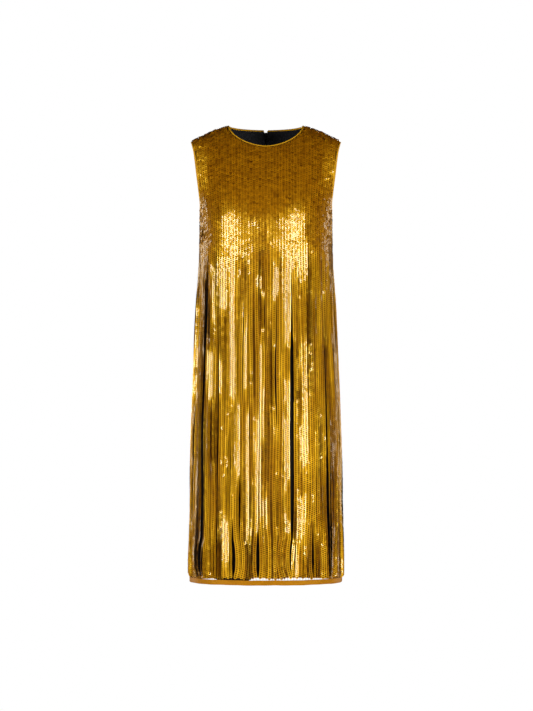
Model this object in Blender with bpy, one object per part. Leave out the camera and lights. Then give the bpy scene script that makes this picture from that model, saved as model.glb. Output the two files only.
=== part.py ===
"""A sleeveless straight dress, worn shape: a black slip under a sequinned yoke, with strings of
sequins hanging from the yoke to a satin hem band, satin bindings at neck and armholes, and a zip
at the centre back.

Metres, +Z up. The front faces -Y and the wearer's left side is at +X. The origin lies midway
between the two points where the shoulder seams meet the neckline.
"""

import math

import bmesh
import bpy
import numpy as np

# Cloth
SEAM_GAP = 0.0003
YOKE_THICKNESS = 0.0016
SLIP_THICKNESS = 0.0010
SLIP_DEPTH = YOKE_THICKNESS + SEAM_GAP
CLOTH_DEPTH = SLIP_DEPTH + SLIP_THICKNESS

# The worn form, as level sections from the neck down
FORM_COLUMNS = ("height", "half_width", "front", "back", "squareness")
FORM = (
    (0.000, 0.0770, 0.0300, 0.0540, 2.0),
    (-0.009, 0.1035, 0.0370, 0.0600, 2.0),
    (-0.018, 0.1245, 0.0430, 0.0660, 2.0),
    (-0.036, 0.1585, 0.0550, 0.0780, 2.0),
    (-0.065, 0.1680, 0.0730, 0.0890, 2.1),
    (-0.100, 0.1670, 0.0910, 0.0970, 2.2),
    (-0.145, 0.1500, 0.1100, 0.1030, 2.2),
    (-0.190, 0.1390, 0.1210, 0.1060, 2.2),
    (-0.225, 0.1385, 0.1240, 0.1070, 2.2),
    (-0.252, 0.1390, 0.1245, 0.1070, 2.2),
    (-0.386, 0.1450, 0.1230, 0.1070, 2.2),
    (-0.521, 0.1510, 0.1210, 0.1070, 2.2),
    (-0.655, 0.1570, 0.1190, 0.1070, 2.2),
    (-0.790, 0.1595, 0.1180, 0.1075, 2.2),
    (-0.924, 0.1620, 0.1180, 0.1080, 2.2),
    (-0.957, 0.1610, 0.1170, 0.1070, 2.2),
)

# Neckline and armholes, as seen from the front
NECK_HALF_WIDTH = 0.0770
NECK_FRONT_DROP = 0.0463
NECK_BACK_DROP = 0.0050
NECK_ROUNDNESS = 1.75
SHOULDER_TIP = -0.0357
ARMPIT = -0.1900
ARMHOLE_COLUMNS = ("height", "front_edge", "back_edge")
ARMHOLE = (
    (SHOULDER_TIP, 0.1580, 0.1580),
    (-0.050, 0.1530, 0.1545),
    (-0.067, 0.1490, 0.1520),
    (-0.084, 0.1460, 0.1500),
    (-0.101, 0.1440, 0.1480),
    (-0.134, 0.1400, 0.1435),
    (-0.168, 0.1385, 0.1395),
    (ARMPIT, 0.1390, 0.1390),
)
BINDING_WIDTH = 0.0030
BINDING_THICKNESS = 0.0036
BINDING_SIDES = 6

# Yoke, fringe and hem
YOKE_END = -0.2520
STRIP_HEIGHT = 0.0050
STRINGS = 138
STRING_WIDTH = 0.0050
STRING_THICKNESS = 0.0015
THREAD_WIDTH = 0.0010
HEM = -0.9570
BAND_HEIGHT = 0.0105
BAND_THICKNESS = 0.0026
BAND_DEPTH = 0.0006
BAND_TOP = HEM + BAND_HEIGHT
SEQUIN_END = BAND_TOP + 0.0040
SLIP_END = BAND_TOP + 0.0046
SLIP_DIP = 0.0036
SLIP_DIP_MIDDLE = -0.0700
SLIP_DIP_HALF = 0.0420
SLIP_HANG_DEPTH = 0.0052
SLIP_HANG_START = -0.2600
SLIP_HANG_FULL = -0.3200

# The folds where the strings part and the slip shows, by front-view place, from the top down
SLIT_COLUMNS = ("place", "top", "bottom", "width", "sink")
FRONT_SLITS = (
    (-0.1500, -0.300, -0.930, 0.0022, 0.0010),
    (-0.1300, -0.262, -0.945, 0.0080, 0.0018),
    (-0.1020, -0.420, -0.940, 0.0020, 0.0012),
    (-0.0640, -0.820, -0.946, 0.0056, 0.0014),
    (-0.0480, -0.280, -0.600, 0.0022, 0.0016),
    (-0.0150, -0.830, -0.946, 0.0056, 0.0012),
    (-0.0060, -0.290, -0.480, 0.0016, 0.0012),
    (0.0255, -0.285, -0.640, 0.0024, 0.0012),
    (0.0570, -0.268, -0.900, 0.0076, 0.0018),
    (0.0940, -0.800, -0.945, 0.0044, 0.0012),
    (0.1270, -0.266, -0.940, 0.0050, 0.0016),
    (0.1500, -0.320, -0.930, 0.0024, 0.0010),
)
BACK_SLITS = (
    (-0.1440, -0.290, -0.940, 0.0030, 0.0012),
    (-0.1100, -0.270, -0.945, 0.0050, 0.0016),
    (-0.0720, -0.380, -0.944, 0.0026, 0.0012),
    (-0.0380, -0.265, -0.900, 0.0042, 0.0016),
    (0.0000, -0.262, -0.945, 0.0036, 0.0014),
    (0.0470, -0.340, -0.940, 0.0030, 0.0012),
    (0.0830, -0.266, -0.945, 0.0054, 0.0018),
    (0.1190, -0.400, -0.945, 0.0030, 0.0012),
    (0.1480, -0.300, -0.930, 0.0024, 0.0010),
)
SLIT_REACH = 8
SINK_REACH = 2.6
SLIT_WIDEST = 0.62
FRINGE_BULGE = 0.0008
STRING_RINGS = (-0.420, -0.640, -0.860)

# Zip
ZIP_SPLAY = 0.0048
ZIP_SPLAY_END = -0.0200
SPLAY_WIDTH = 0.0140
ZIP_TOP = -0.0190
ZIP_END = -0.5000
CHAIN_WIDTH = 0.0048
CHAIN_THICKNESS = 0.0016
SLIDER_WIDTH = 0.0070
SLIDER_HEIGHT = 0.0100
SLIDER_THICKNESS = 0.0028
PIVOT_HEIGHT = -0.0130
PIVOT_OUT = 0.0010
BRIDGE_RADIUS = 0.0021
BRIDGE_HALF_WIDTH = 0.0006
EYE_RADIUS = 0.0011
EYE_SIDES = 8
PULL_WIDTH = 0.0042
PULL_LENGTH = 0.0210
PULL_THICKNESS = 0.0011
WINDOW_END = 0.0030

# Mesh density
PANEL_COLUMNS = 20
SHOULDER_COLUMNS = 3
NECK_STEPS = PANEL_COLUMNS - 2 * SHOULDER_COLUMNS
ARMHOLE_STEPS = 10
SIDE_ROWS = 2
TOP_BLEND = 4
SLIP_ROWS = (-0.790, -0.600, -0.420, -0.320, -0.262)
BAND_STEPS = 48
CHAIN_STEPS = 12
FINE = 240

HALF_TURN = math.pi
QUARTER_TURN = math.pi / 2


def clear_scene():
    for thing in list(bpy.data.objects):
        bpy.data.objects.remove(thing, do_unlink=True)


def material(name, colour, roughness, metallic):
    made = bpy.data.materials.new(name)
    made.use_nodes = True
    shader = made.node_tree.nodes["Principled BSDF"]
    shader.inputs["Base Color"].default_value = (*colour, 1.0)
    shader.inputs["Roughness"].default_value = roughness
    shader.inputs["Metallic"].default_value = metallic
    return made


def read_table(rows, columns, name, height):
    """Smooth values of one column of a table at the given heights."""
    rows = sorted(rows)
    knots = np.array([row[columns.index("height")] for row in rows])
    values = np.array([row[columns.index(name)] for row in rows])
    slopes = np.gradient(values, knots)
    height = np.clip(np.asarray(height, float), knots[0], knots[-1])
    low = np.clip(np.searchsorted(knots, height) - 1, 0, len(knots) - 2)
    step = knots[low + 1] - knots[low]
    share = (height - knots[low]) / step
    rest = 1 - share
    from_values = values[low] * (1 + 2 * share) * rest**2 + values[low + 1] * share**2 * (3 - 2 * share)
    from_slopes = slopes[low] * share * rest**2 - slopes[low + 1] * share**2 * rest
    return from_values + from_slopes * step


def form(name, height):
    return read_table(FORM, FORM_COLUMNS, name, height)


def surface(angle, height):
    """Points on the outer surface. Angle 0 is the wearer's left, a quarter turn the centre front."""
    angle, height = np.broadcast_arrays(np.asarray(angle, float), np.asarray(height, float))
    power = 2 / form("squareness", height)
    across, along = np.cos(angle), np.sin(angle)
    reach = np.where(along >= 0, form("front", height), form("back", height))
    x = form("half_width", height) * np.sign(across) * np.abs(across) ** power
    y = -reach * np.sign(along) * np.abs(along) ** power
    return np.stack([x, y, height], axis=-1)


def normal(angle, height):
    """Outward unit normals of the surface."""
    turn, drop = 2e-3, 5e-4
    along = surface(angle + turn, height) - surface(angle - turn, height)
    middle = np.minimum(height, -drop)
    up = surface(angle, middle + drop) - surface(angle, middle - drop)
    across = np.cross(up, along)
    across /= np.linalg.norm(across, axis=-1, keepdims=True)
    flat = surface(angle, height) * [1, 1, 0]
    outward = np.sign(np.sum(across * flat, axis=-1, keepdims=True))
    return across * np.where(outward == 0, 1, outward)


def inside(angle, height, depth):
    """Points a given depth inside the surface."""
    angle, height = np.broadcast_arrays(np.asarray(angle, float), np.asarray(height, float))
    return surface(angle, height) - normal(angle, height) * np.asarray(depth, float)[..., None]


def even_angles(height, fractions, side):
    """Angles at given shares of the way round half of a level section, side 1 front and -1 back."""
    angles = np.linspace(0, side * HALF_TURN, FINE + 1)
    points = surface(angles, height)
    steps = np.linalg.norm(np.diff(points, axis=0), axis=1)
    shares = np.concatenate([[0], np.cumsum(steps)]) / steps.sum()
    return np.interp(fractions, shares, angles)


def half_length(height, side):
    points = surface(np.linspace(0, side * HALF_TURN, FINE + 1), height)
    return np.linalg.norm(np.diff(points, axis=0), axis=1).sum()


def angle_at(x, height, side):
    """Angle of the surface point that has this x at this height."""
    share = np.clip(np.abs(x) / form("half_width", height), 0, 1)
    turn = np.arccos(share ** (form("squareness", height) / 2))
    return side * np.where(np.asarray(x) < 0, HALF_TURN - turn, turn)


def evenly(angle, height, count):
    """The same curve on the surface with count even steps."""
    points = surface(angle, height)
    run = np.concatenate([[0], np.cumsum(np.linalg.norm(np.diff(points, axis=0), axis=1))])
    even = np.linspace(0, run[-1], count + 1)
    return np.interp(even, run, angle), np.interp(even, run, height)


def armhole_half(side):
    """The left armhole from shoulder tip to armpit, along its front edge (side 1) or back edge (-1)."""
    turn = np.linspace(0, HALF_TURN, FINE + 1)
    middle, half = (SHOULDER_TIP + ARMPIT) / 2, (SHOULDER_TIP - ARMPIT) / 2
    height = middle + half * np.cos(turn)
    edge = "front_edge" if side > 0 else "back_edge"
    angle = angle_at(read_table(ARMHOLE, ARMHOLE_COLUMNS, edge, height), height, side)
    angle[0] = angle[-1] = 0
    return evenly(angle, height, ARMHOLE_STEPS)


def neck_half(side):
    """Half of the neckline, from the left shoulder to the right one, side 1 front and -1 back."""
    drop = NECK_FRONT_DROP if side > 0 else NECK_BACK_DROP
    x = NECK_HALF_WIDTH * np.cos(np.linspace(0, HALF_TURN, FINE + 1))
    share = np.clip(1 - (np.abs(x) / NECK_HALF_WIDTH) ** NECK_ROUNDNESS, 0, 1)
    height = -drop * share ** (1 / NECK_ROUNDNESS)
    return evenly(angle_at(x, height, side), height, NECK_STEPS)


def edge_loop(half, inwards, amount=0.0):
    """A closed edge, front half then back half, inset by an amount: its angles, heights and frame.

    The frame is the edge's points, its outward normals, and the directions in the cloth away from the edge.
    """
    front, back = half(1), half(-1)
    angle, height = [np.concatenate([ahead, behind[-2:0:-1]]) for ahead, behind in zip(front, back)]
    points, out = surface(angle, height), normal(angle, height)
    along = np.roll(points, -1, axis=0) - np.roll(points, 1, axis=0)
    into = np.cross(out, along)
    into *= inwards / np.linalg.norm(into, axis=1, keepdims=True)
    turn, drop = 1e-3, 1e-4
    by_angle = (surface(angle + turn, height) - surface(angle - turn, height)) / (2 * turn)
    by_height = (surface(angle, height) - surface(angle, height - drop)) / drop
    jacobian = np.stack([by_angle, by_height], axis=-1)
    moves = np.einsum("nij,nj->ni", np.linalg.pinv(jacobian), into * amount)
    return angle + moves[:, 0], height + moves[:, 1], (points, out, into)


def loop_side(values, side):
    """The front (side 1) or back (-1) half of a closed edge, from its first point to its middle."""
    ordered = values if side > 0 else np.roll(values[::-1], 1, axis=0)
    return ordered[: len(values) // 2 + 1]


def neck_loop(amount=0.0):
    return edge_loop(neck_half, 1, amount)


def armhole_loop(amount=0.0):
    return edge_loop(armhole_half, -1, amount)


def clear_of_zip(points):
    """Keeps back panels off the centre line, and opens their top corners above the zip."""
    points = np.array(points)
    top = -NECK_BACK_DROP
    share = np.clip((points[..., 2] - ZIP_SPLAY_END) / (top - ZIP_SPLAY_END), 0, 1)
    edge = SEAM_GAP / 2 + ZIP_SPLAY * share
    near = np.clip(1 - np.abs(points[..., 0]) / SPLAY_WIDTH, 0, 1)
    points[..., 0] += edge * near
    return points


def mirrored(points):
    return points * [-1, 1, 1]


def add_object(name, vertices, faces, finish):
    mesh = bpy.data.meshes.new(name)
    mesh.from_pydata([tuple(v) for v in vertices], [], faces)
    work = bmesh.new()
    work.from_mesh(mesh)
    bmesh.ops.recalc_face_normals(work, faces=work.faces)
    work.to_mesh(mesh)
    work.free()
    mesh.materials.append(finish)
    mesh.shade_smooth()
    mesh.set_sharp_from_angle(angle=math.radians(40))
    made = bpy.data.objects.new(name, mesh)
    bpy.context.scene.collection.objects.link(made)
    return made


def add_wall(name, outer, inner, finish):
    """A closed wall between two grids of points."""
    rows, columns = outer.shape[:2]
    vertices = np.concatenate([outer.reshape(-1, 3), inner.reshape(-1, 3)])
    under = rows * columns
    faces = []
    for r in range(rows - 1):
        for c in range(columns - 1):
            a, b = r * columns + c, (r + 1) * columns + c
            for triangle in ((a, a + 1, b + 1), (a, b + 1, b)):
                faces.append(triangle)
                faces.append(tuple(under + corner for corner in reversed(triangle)))
    rim = list(range(columns))
    rim += [r * columns + columns - 1 for r in range(1, rows)]
    rim += [(rows - 1) * columns + c for c in range(columns - 2, -1, -1)]
    rim += [r * columns for r in range(rows - 2, 0, -1)]
    for a, b in zip(rim, rim[1:] + rim[:1]):
        faces.append((b, a, under + a, under + b))
    return add_object(name, vertices, faces, finish)


def add_sweep(name, sections, closed, finish):
    """A solid swept through sections of equal point count, a ring if closed and capped if not."""
    count, sides = sections.shape[:2]
    faces = []
    for i in range(count if closed else count - 1):
        here, there = i * sides, (i + 1) % count * sides
        for k in range(sides):
            m = (k + 1) % sides
            faces.append((here + k, here + m, there + m, there + k))
    if not closed:
        faces.append(tuple(range(sides)))
        faces.append(tuple(range((count - 1) * sides, count * sides)))
    return add_object(name, sections.reshape(-1, 3), faces, finish)


def panel_top(side, amount):
    """Angles and heights of a panel's top edge, inset from the bindings: shoulder, neckline, shoulder."""
    neck_angle, neck_height = [loop_side(values, side).copy() for values in neck_loop(amount)[:2]]
    neck_angle[0], neck_angle[-1] = 0, side * HALF_TURN
    tip = armhole_loop(amount)[1][0]
    shoulder = np.linspace(tip, neck_height[0], SHOULDER_COLUMNS + 1)[:-1]
    none = np.zeros(SHOULDER_COLUMNS)
    angle = np.concatenate([none, neck_angle, none + side * HALF_TURN])
    return angle, np.concatenate([shoulder, neck_height, shoulder[::-1]])


def panel_side(side, amount):
    """Angles and heights of a panel's left edge above the yoke's end: side seam, then armhole."""
    angle, height = [loop_side(values, side).copy() for values in armhole_loop(amount)[:2]]
    angle[0] = angle[-1] = 0
    seam = np.linspace(YOKE_END, height[-1], SIDE_ROWS + 1)[:-1]
    return np.concatenate([np.zeros(SIDE_ROWS), angle[::-1]]), np.concatenate([seam, height[::-1]])


def upper_patch(side, amount):
    """Angles and heights over a panel from the yoke's end to its top edge, blended from its four edges."""
    top_angle, top_height = panel_top(side, amount)
    side_angle, side_height = panel_side(side, amount)
    u = np.linspace(0, 1, PANEL_COLUMNS + 1)[None, :]
    v = np.linspace(0, 1, len(side_angle))[:, None]
    late = v**TOP_BLEND
    bottom_angle = even_angles(YOKE_END, u[0], side)[None, :]
    across = ((1 - late) * bottom_angle + late * top_angle[None, :]) / (side * HALF_TURN)
    angle = side_angle[:, None] + (side * HALF_TURN - 2 * side_angle[:, None]) * across
    even_side = (1 - v) * YOKE_END + v * top_height[0]
    height = (1 - v) * YOKE_END + v * top_height[None, :]
    return angle, height + (side_height[:, None] - even_side) * np.abs(1 - 2 * u)


def slip_patch(side, amount):
    """Angles and heights over a slip panel, from its hem to its top edge."""
    u = np.linspace(0, 1, PANEL_COLUMNS + 1)
    hem_angle = even_angles(SLIP_END, u, side)
    place = (surface(hem_angle, SLIP_END)[:, 0] - SLIP_DIP_MIDDLE) / SLIP_DIP_HALF
    dip = SLIP_DIP * np.clip(1 - place**4, 0, 1) if side > 0 else 0 * u
    angles, heights = [hem_angle], [SLIP_END - dip]
    for height in SLIP_ROWS:
        angles.append(even_angles(height, u, side))
        heights.append(np.full_like(u, height))
    upper_angle, upper_height = upper_patch(side, amount)
    return np.vstack([angles, upper_angle]), np.vstack([heights, upper_height])


def slip_depth(height):
    """How far the slip hangs inside the outer surface: closely under the yoke, freely under the strings."""
    share = np.clip((SLIP_HANG_START - height) / (SLIP_HANG_START - SLIP_HANG_FULL), 0, 1)
    return SLIP_DEPTH + (SLIP_HANG_DEPTH - SLIP_DEPTH) * share**2 * (3 - 2 * share)


def add_panels(name, angle, height, depth, thickness, side, finish):
    """The front panel, or the two back panels either side of the zip, as walls."""
    outer = inside(angle, height, depth)
    inner = inside(angle, height, depth + thickness)
    for points in (outer, inner):
        points[..., 1] -= side * SEAM_GAP / 2
    if side > 0:
        add_wall(name + "_front", outer, inner, finish)
        return
    half = PANEL_COLUMNS // 2 + 1
    left = [clear_of_zip(points[:, :half]) for points in (outer, inner)]
    add_wall(name + "_back_left", *left, finish)
    add_wall(name + "_back_right", *[mirrored(points) for points in left], finish)


def add_yoke(finish):
    for side in (1, -1):
        angle, height = upper_patch(side, BINDING_WIDTH + SEAM_GAP)
        add_panels("yoke", angle, height, np.zeros_like(height), YOKE_THICKNESS, side, finish)


def add_slip(finish):
    for side in (1, -1):
        angle, height = slip_patch(side, BINDING_WIDTH + SEAM_GAP)
        add_panels("slip", angle, height, slip_depth(height), SLIP_THICKNESS, side, finish)


def binding_sections(points, out, into):
    """Rounded sections of a binding that caps the edges of the yoke and the slip."""
    centre = points + into * BINDING_WIDTH / 2 - out * CLOTH_DEPTH / 2
    turns = np.arange(BINDING_SIDES) * 2 * HALF_TURN / BINDING_SIDES
    sections = [
        centre + into * math.cos(turn) * BINDING_WIDTH / 2 + out * math.sin(turn) * BINDING_THICKNESS / 2
        for turn in turns
    ]
    return np.stack(sections, axis=1)


def add_neck_binding(finish):
    """One strip from the zip round the neck and back to the zip."""
    sections = binding_sections(*neck_loop()[2])
    centre_back = NECK_STEPS * 3 // 2
    sections = np.roll(sections, -centre_back, axis=0)
    sections = np.concatenate([sections, sections[:1]])
    half = NECK_STEPS // 2 + 1
    sections[:half] = clear_of_zip(sections[:half])
    sections[-half:] = mirrored(clear_of_zip(mirrored(sections[-half:])))
    add_sweep("neck_binding", sections, False, finish)


def add_armhole_bindings(finish):
    sections = binding_sections(*armhole_loop()[2])
    add_sweep("armhole_binding_left", sections, True, finish)
    add_sweep("armhole_binding_right", mirrored(sections), True, finish)


def slit_opening(height, top, bottom):
    """How open a slit is at a height, from 0 at its ends to 1 at its widest."""
    share = (top - height) / (top - bottom)
    if not 0 < share < 1:
        return 0.0
    rise = math.sin(QUARTER_TURN * min(share / SLIT_WIDEST, 1))
    fall = math.cos(QUARTER_TURN * max((share - SLIT_WIDEST) / (1 - SLIT_WIDEST), 0) ** 2)
    return rise * fall


def slit_strings(slits, fractions, side):
    """Each slit as the count of strings that lie before it, with its other values."""
    middle = (YOKE_END + HEM) / 2
    places = surface(even_angles(middle, fractions, side), middle)[:, 0]
    return [(int(np.sum(places > row[0])) - 0.5, *row[1:]) for row in slits]


def string_places(height, fractions, slits, side):
    """Angles of the strings at a height, pushed apart at the slits, and how far each one sinks there."""
    length = half_length(height, side)
    run, sink = fractions * length, np.zeros_like(fractions)
    index = np.arange(len(fractions))
    for before, top, bottom, width, depth in slits:
        opening = slit_opening(height, top, bottom)
        away = index - before
        run += np.sign(away) * width / 2 * opening * np.clip(1 - np.abs(away) / SLIT_REACH, 0, 1)
        sink += depth * opening * np.clip(1 - np.abs(away) / SINK_REACH, 0, 1)
    return even_angles(height, run / length, side), sink


def string_ring(height, angle, depth, width, thickness):
    """The three corners of every string at a height: two outside, one inside."""
    centre = inside(angle, np.full_like(angle, height), depth)
    out = normal(angle, np.full_like(angle, height)) * [1, 1, 0]
    out /= np.linalg.norm(out, axis=1, keepdims=True)
    along = np.stack([-out[:, 1], out[:, 0], np.zeros(len(out))], axis=1)
    reach = along * width / 2
    return np.stack([centre - reach, centre + reach, centre - out * thickness], axis=1)


def string_rings(fractions, slits, side):
    """Corner points of the strip's top, the strip's bottom and every level of the strings below it."""
    rings = []
    for height in (YOKE_END - SEAM_GAP, YOKE_END - SEAM_GAP - STRIP_HEIGHT):
        angle = even_angles(height, fractions, side)
        rings.append(string_ring(height, angle, 0 * angle, STRING_WIDTH, YOKE_THICKNESS))
    for height in STRING_RINGS:
        angle, sink = string_places(height, fractions, slits, side)
        rings.append(string_ring(height, angle, sink, STRING_WIDTH, STRING_THICKNESS))
    rings[-1] += normal(angle, np.full_like(angle, height))[:, None] * FRINGE_BULGE
    for height, width, thickness in (
        (SEQUIN_END, STRING_WIDTH, STRING_THICKNESS),
        (BAND_TOP + SEAM_GAP, THREAD_WIDTH, THREAD_WIDTH),
    ):
        angle, sink = string_places(height, fractions, slits, side)
        middle = BAND_DEPTH + BAND_THICKNESS / 2 - thickness / 2
        rings.append(string_ring(height, angle, np.full_like(angle, middle), width, thickness))
    return rings


def add_fringe(name, rings, finish):
    """Strings hanging from one narrow strip, which is parted from the yoke's edge."""
    count = len(rings[0])
    vertices = np.concatenate([ring.reshape(-1, 3) for ring in rings])

    def corner(level, string, which):
        return (level * count + string) * 3 + which

    faces = []
    for i in range(count):
        faces.append((corner(0, i, 0), corner(0, i, 1), corner(0, i, 2)))
        faces.append((corner(0, i, 0), corner(1, i, 0), corner(1, i, 1), corner(0, i, 1)))
        for level in range(1, len(rings) - 1):
            for k in range(3):
                m = (k + 1) % 3
                below, below_next = corner(level + 1, i, k), corner(level + 1, i, m)
                faces.append((corner(level, i, k), below, below_next, corner(level, i, m)))
        last = len(rings) - 1
        faces.append((corner(last, i, 2), corner(last, i, 1), corner(last, i, 0)))
    for i in range(count - 1):
        j = i + 1
        faces.append((corner(0, i, 1), corner(1, i, 1), corner(1, j, 0), corner(0, j, 0)))
        faces.append((corner(0, i, 2), corner(0, j, 2), corner(1, j, 2), corner(1, i, 2)))
        faces.append((corner(0, i, 1), corner(0, j, 0), corner(0, j, 2), corner(0, i, 2)))
        faces.append((corner(1, i, 2), corner(1, j, 2), corner(1, j, 0), corner(1, i, 1)))
    for i, which in ((0, 0), (count - 1, 1)):
        faces.append((corner(0, i, which), corner(0, i, 2), corner(1, i, 2), corner(1, i, which)))
    add_object(name, vertices, faces, finish)


def add_fringes(finish):
    half = STRINGS // 2
    fractions = (np.arange(half) + 0.5) / half
    for side, slits in ((1, FRONT_SLITS), (-1, BACK_SLITS)):
        rings = string_rings(fractions, slit_strings(slits, fractions, side), side)
        if side > 0:
            add_fringe("fringe_front", rings, finish)
            continue
        add_fringe("fringe_back_left", [ring[: half // 2] for ring in rings], finish)
        add_fringe("fringe_back_right", [ring[half // 2 :] for ring in rings], finish)


def add_hem_band(finish):
    """A folded satin ring that the strings' threads are sewn to."""
    fractions = np.linspace(0, 1, BAND_STEPS // 2 + 1)[:-1]
    front = even_angles(HEM, fractions, 1)
    angle = np.concatenate([front, front + HALF_TURN])
    rise = BAND_HEIGHT
    section = (
        (BAND_DEPTH + 0.25 * BAND_THICKNESS, rise),
        (BAND_DEPTH, 0.82 * rise),
        (BAND_DEPTH, 0.18 * rise),
        (BAND_DEPTH + 0.30 * BAND_THICKNESS, 0),
        (BAND_DEPTH + 0.70 * BAND_THICKNESS, 0),
        (BAND_DEPTH + BAND_THICKNESS, 0.18 * rise),
        (BAND_DEPTH + BAND_THICKNESS, 0.82 * rise),
        (BAND_DEPTH + 0.75 * BAND_THICKNESS, rise),
    )
    out = normal(angle, np.full_like(angle, HEM)) * [1, 1, 0]
    out /= np.linalg.norm(out, axis=1, keepdims=True)
    edge = surface(angle, np.full_like(angle, HEM))
    sections = [edge - out * depth + [0, 0, height] for depth, height in section]
    add_sweep("hem_band", np.stack(sections, axis=1), True, finish)


def add_zip_chain(finish):
    """The closed coil, inside the slip along the centre back edges."""
    height = np.linspace(ZIP_TOP, ZIP_END, CHAIN_STEPS)
    middle = np.full_like(height, -QUARTER_TURN)
    out = normal(middle, height) * [0, 1, 1]
    depth = slip_depth(height) + SLIP_THICKNESS + SEAM_GAP
    near = inside(middle, height, depth) * [0, 1, 1]
    far = near - out * CHAIN_THICKNESS
    wide, narrow = np.array([CHAIN_WIDTH / 2, 0, 0]), np.array([CHAIN_WIDTH / 4, 0, 0])
    rings = np.stack([near - wide, near + wide, far + narrow, far - narrow], axis=1)
    add_sweep("zip_chain", rings, False, finish)


def zip_place(across, down, out):
    """World points from places on the cloth at the zip's top: across it, down it, and out from it."""
    here, below = surface(-QUARTER_TURN, np.array([PIVOT_HEIGHT, ZIP_TOP])) * [0, 1, 1]
    down_axis = (below - here) / np.linalg.norm(below - here)
    out_axis = np.array([0, -down_axis[2], down_axis[1]])
    across, down, out = np.broadcast_arrays(across, down, out)
    return here + across[..., None] * [1, 0, 0] + down[..., None] * down_axis + out[..., None] * out_axis


def arc(centre, radius, start, end, steps):
    """Points of an arc, as a list of pairs."""
    turns = np.linspace(start, end, steps)
    return [(centre[0] + radius * math.cos(turn), centre[1] + radius * math.sin(turn)) for turn in turns]


def plate(outline, low, high):
    """A plate along the cloth: an outline of (across, down) pairs between two distances out from it."""
    across, down = np.array(outline).T
    return np.stack([zip_place(across, down, low), zip_place(across, down, high)])


def upright(outline, half_width):
    """A plate across the cloth: an outline of (down, out) pairs, centred on the middle line."""
    down, out = np.array(outline).T
    return np.stack([zip_place(-half_width, down, out), zip_place(half_width, down, out)])


def add_prism(name, ends, finish):
    """A solid between two like outlines."""
    return add_sweep(name, ends, False, finish)


def apply_cut(target, ends, operation, finish):
    """Joins a prism to an object, or cuts it out of it."""
    helper = add_prism(f"{target.name}_{operation.lower()}_{len(target.modifiers)}", ends, finish)
    helper.hide_render = True
    helper.display_type = "WIRE"
    modifier = target.modifiers.new(helper.name, "BOOLEAN")
    modifier.operation = operation
    modifier.object = helper


def add_slider(finish):
    """The slider inside the zip, and its bridge between the open corners, which holds the tab."""
    half, shoulder = SLIDER_WIDTH / 2, SLIDER_HEIGHT * 0.35
    outline = [(-half, -shoulder), (-half * 0.6, -SLIDER_HEIGHT / 2), (half * 0.6, -SLIDER_HEIGHT / 2)]
    outline += [(half, -shoulder), (half * 0.8, SLIDER_HEIGHT / 2), (-half * 0.8, SLIDER_HEIGHT / 2)]
    near = -CLOTH_DEPTH - SEAM_GAP
    slider = add_prism("zip_slider", plate(outline, near - SLIDER_THICKNESS, near), finish)
    neck = [(-BRIDGE_RADIUS, near - SLIDER_THICKNESS / 2), (BRIDGE_RADIUS, near - SLIDER_THICKNESS / 2)]
    bridge = neck + arc((0, PIVOT_OUT), BRIDGE_RADIUS, 0, HALF_TURN, EYE_SIDES)
    apply_cut(slider, upright(bridge, BRIDGE_HALF_WIDTH), "UNION", finish)
    eye = arc((0, PIVOT_OUT), EYE_RADIUS, 0, 2 * HALF_TURN, 2 * EYE_SIDES + 1)[:-1]
    apply_cut(slider, upright(eye, 2 * BRIDGE_HALF_WIDTH), "DIFFERENCE", finish)


def add_pull(finish):
    """The pull tab: its top bar passes through the bridge's eye, and it lies on the cloth below."""
    half, low, high = PULL_WIDTH / 2, PIVOT_OUT - PULL_THICKNESS / 2, PIVOT_OUT + PULL_THICKNESS / 2
    top = -PULL_THICKNESS / 2
    outline = [(half * 0.8, top), (half * 0.8, WINDOW_END)]
    outline += arc((0, PULL_LENGTH - half), half, 0, HALF_TURN, EYE_SIDES)
    outline += [(-half * 0.8, WINDOW_END), (-half * 0.8, top)]
    pull = add_prism("zip_pull", plate(outline, low, high), finish)
    inner = BRIDGE_HALF_WIDTH + SEAM_GAP
    window = [(inner, -top), (inner, WINDOW_END), (-inner, WINDOW_END), (-inner, -top)]
    apply_cut(pull, plate(window, low - PULL_THICKNESS, high + PULL_THICKNESS), "DIFFERENCE", finish)


def main():
    clear_scene()
    sequins = material("gold_sequins", (0.51, 0.27, 0.02), 0.28, 1.0)
    satin = material("gold_satin", (0.60, 0.29, 0.02), 0.45, 0.0)
    slip = material("black_slip", (0.010, 0.010, 0.013), 0.60, 0.0)
    black = material("black_zip", (0.012, 0.012, 0.014), 0.40, 0.0)
    add_yoke(sequins)
    add_slip(slip)
    add_neck_binding(satin)
    add_armhole_bindings(satin)
    add_fringes(sequins)
    add_hem_band(satin)
    add_zip_chain(black)
    add_slider(black)
    add_pull(black)


main()
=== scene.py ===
"""Looks for a sequinned fringe dress: sequins, strings, satin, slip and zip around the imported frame."""

import math

import bmesh
import bpy
import numpy as np
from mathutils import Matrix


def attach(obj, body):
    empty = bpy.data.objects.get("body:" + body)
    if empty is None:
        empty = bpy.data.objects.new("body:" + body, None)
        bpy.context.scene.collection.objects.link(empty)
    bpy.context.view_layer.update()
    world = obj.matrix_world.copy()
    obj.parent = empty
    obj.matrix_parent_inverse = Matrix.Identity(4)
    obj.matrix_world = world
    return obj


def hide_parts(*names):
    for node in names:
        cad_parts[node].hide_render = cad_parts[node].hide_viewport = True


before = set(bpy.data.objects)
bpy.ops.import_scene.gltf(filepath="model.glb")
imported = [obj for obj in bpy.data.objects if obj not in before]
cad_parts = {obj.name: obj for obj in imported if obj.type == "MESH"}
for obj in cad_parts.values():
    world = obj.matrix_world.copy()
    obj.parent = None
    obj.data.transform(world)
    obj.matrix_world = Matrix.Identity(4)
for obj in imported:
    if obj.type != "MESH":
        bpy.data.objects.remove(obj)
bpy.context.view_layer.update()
RANDOM = np.random.default_rng(12)

HALF_TURN = math.pi
QUARTER_TURN = math.pi / 2

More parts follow.
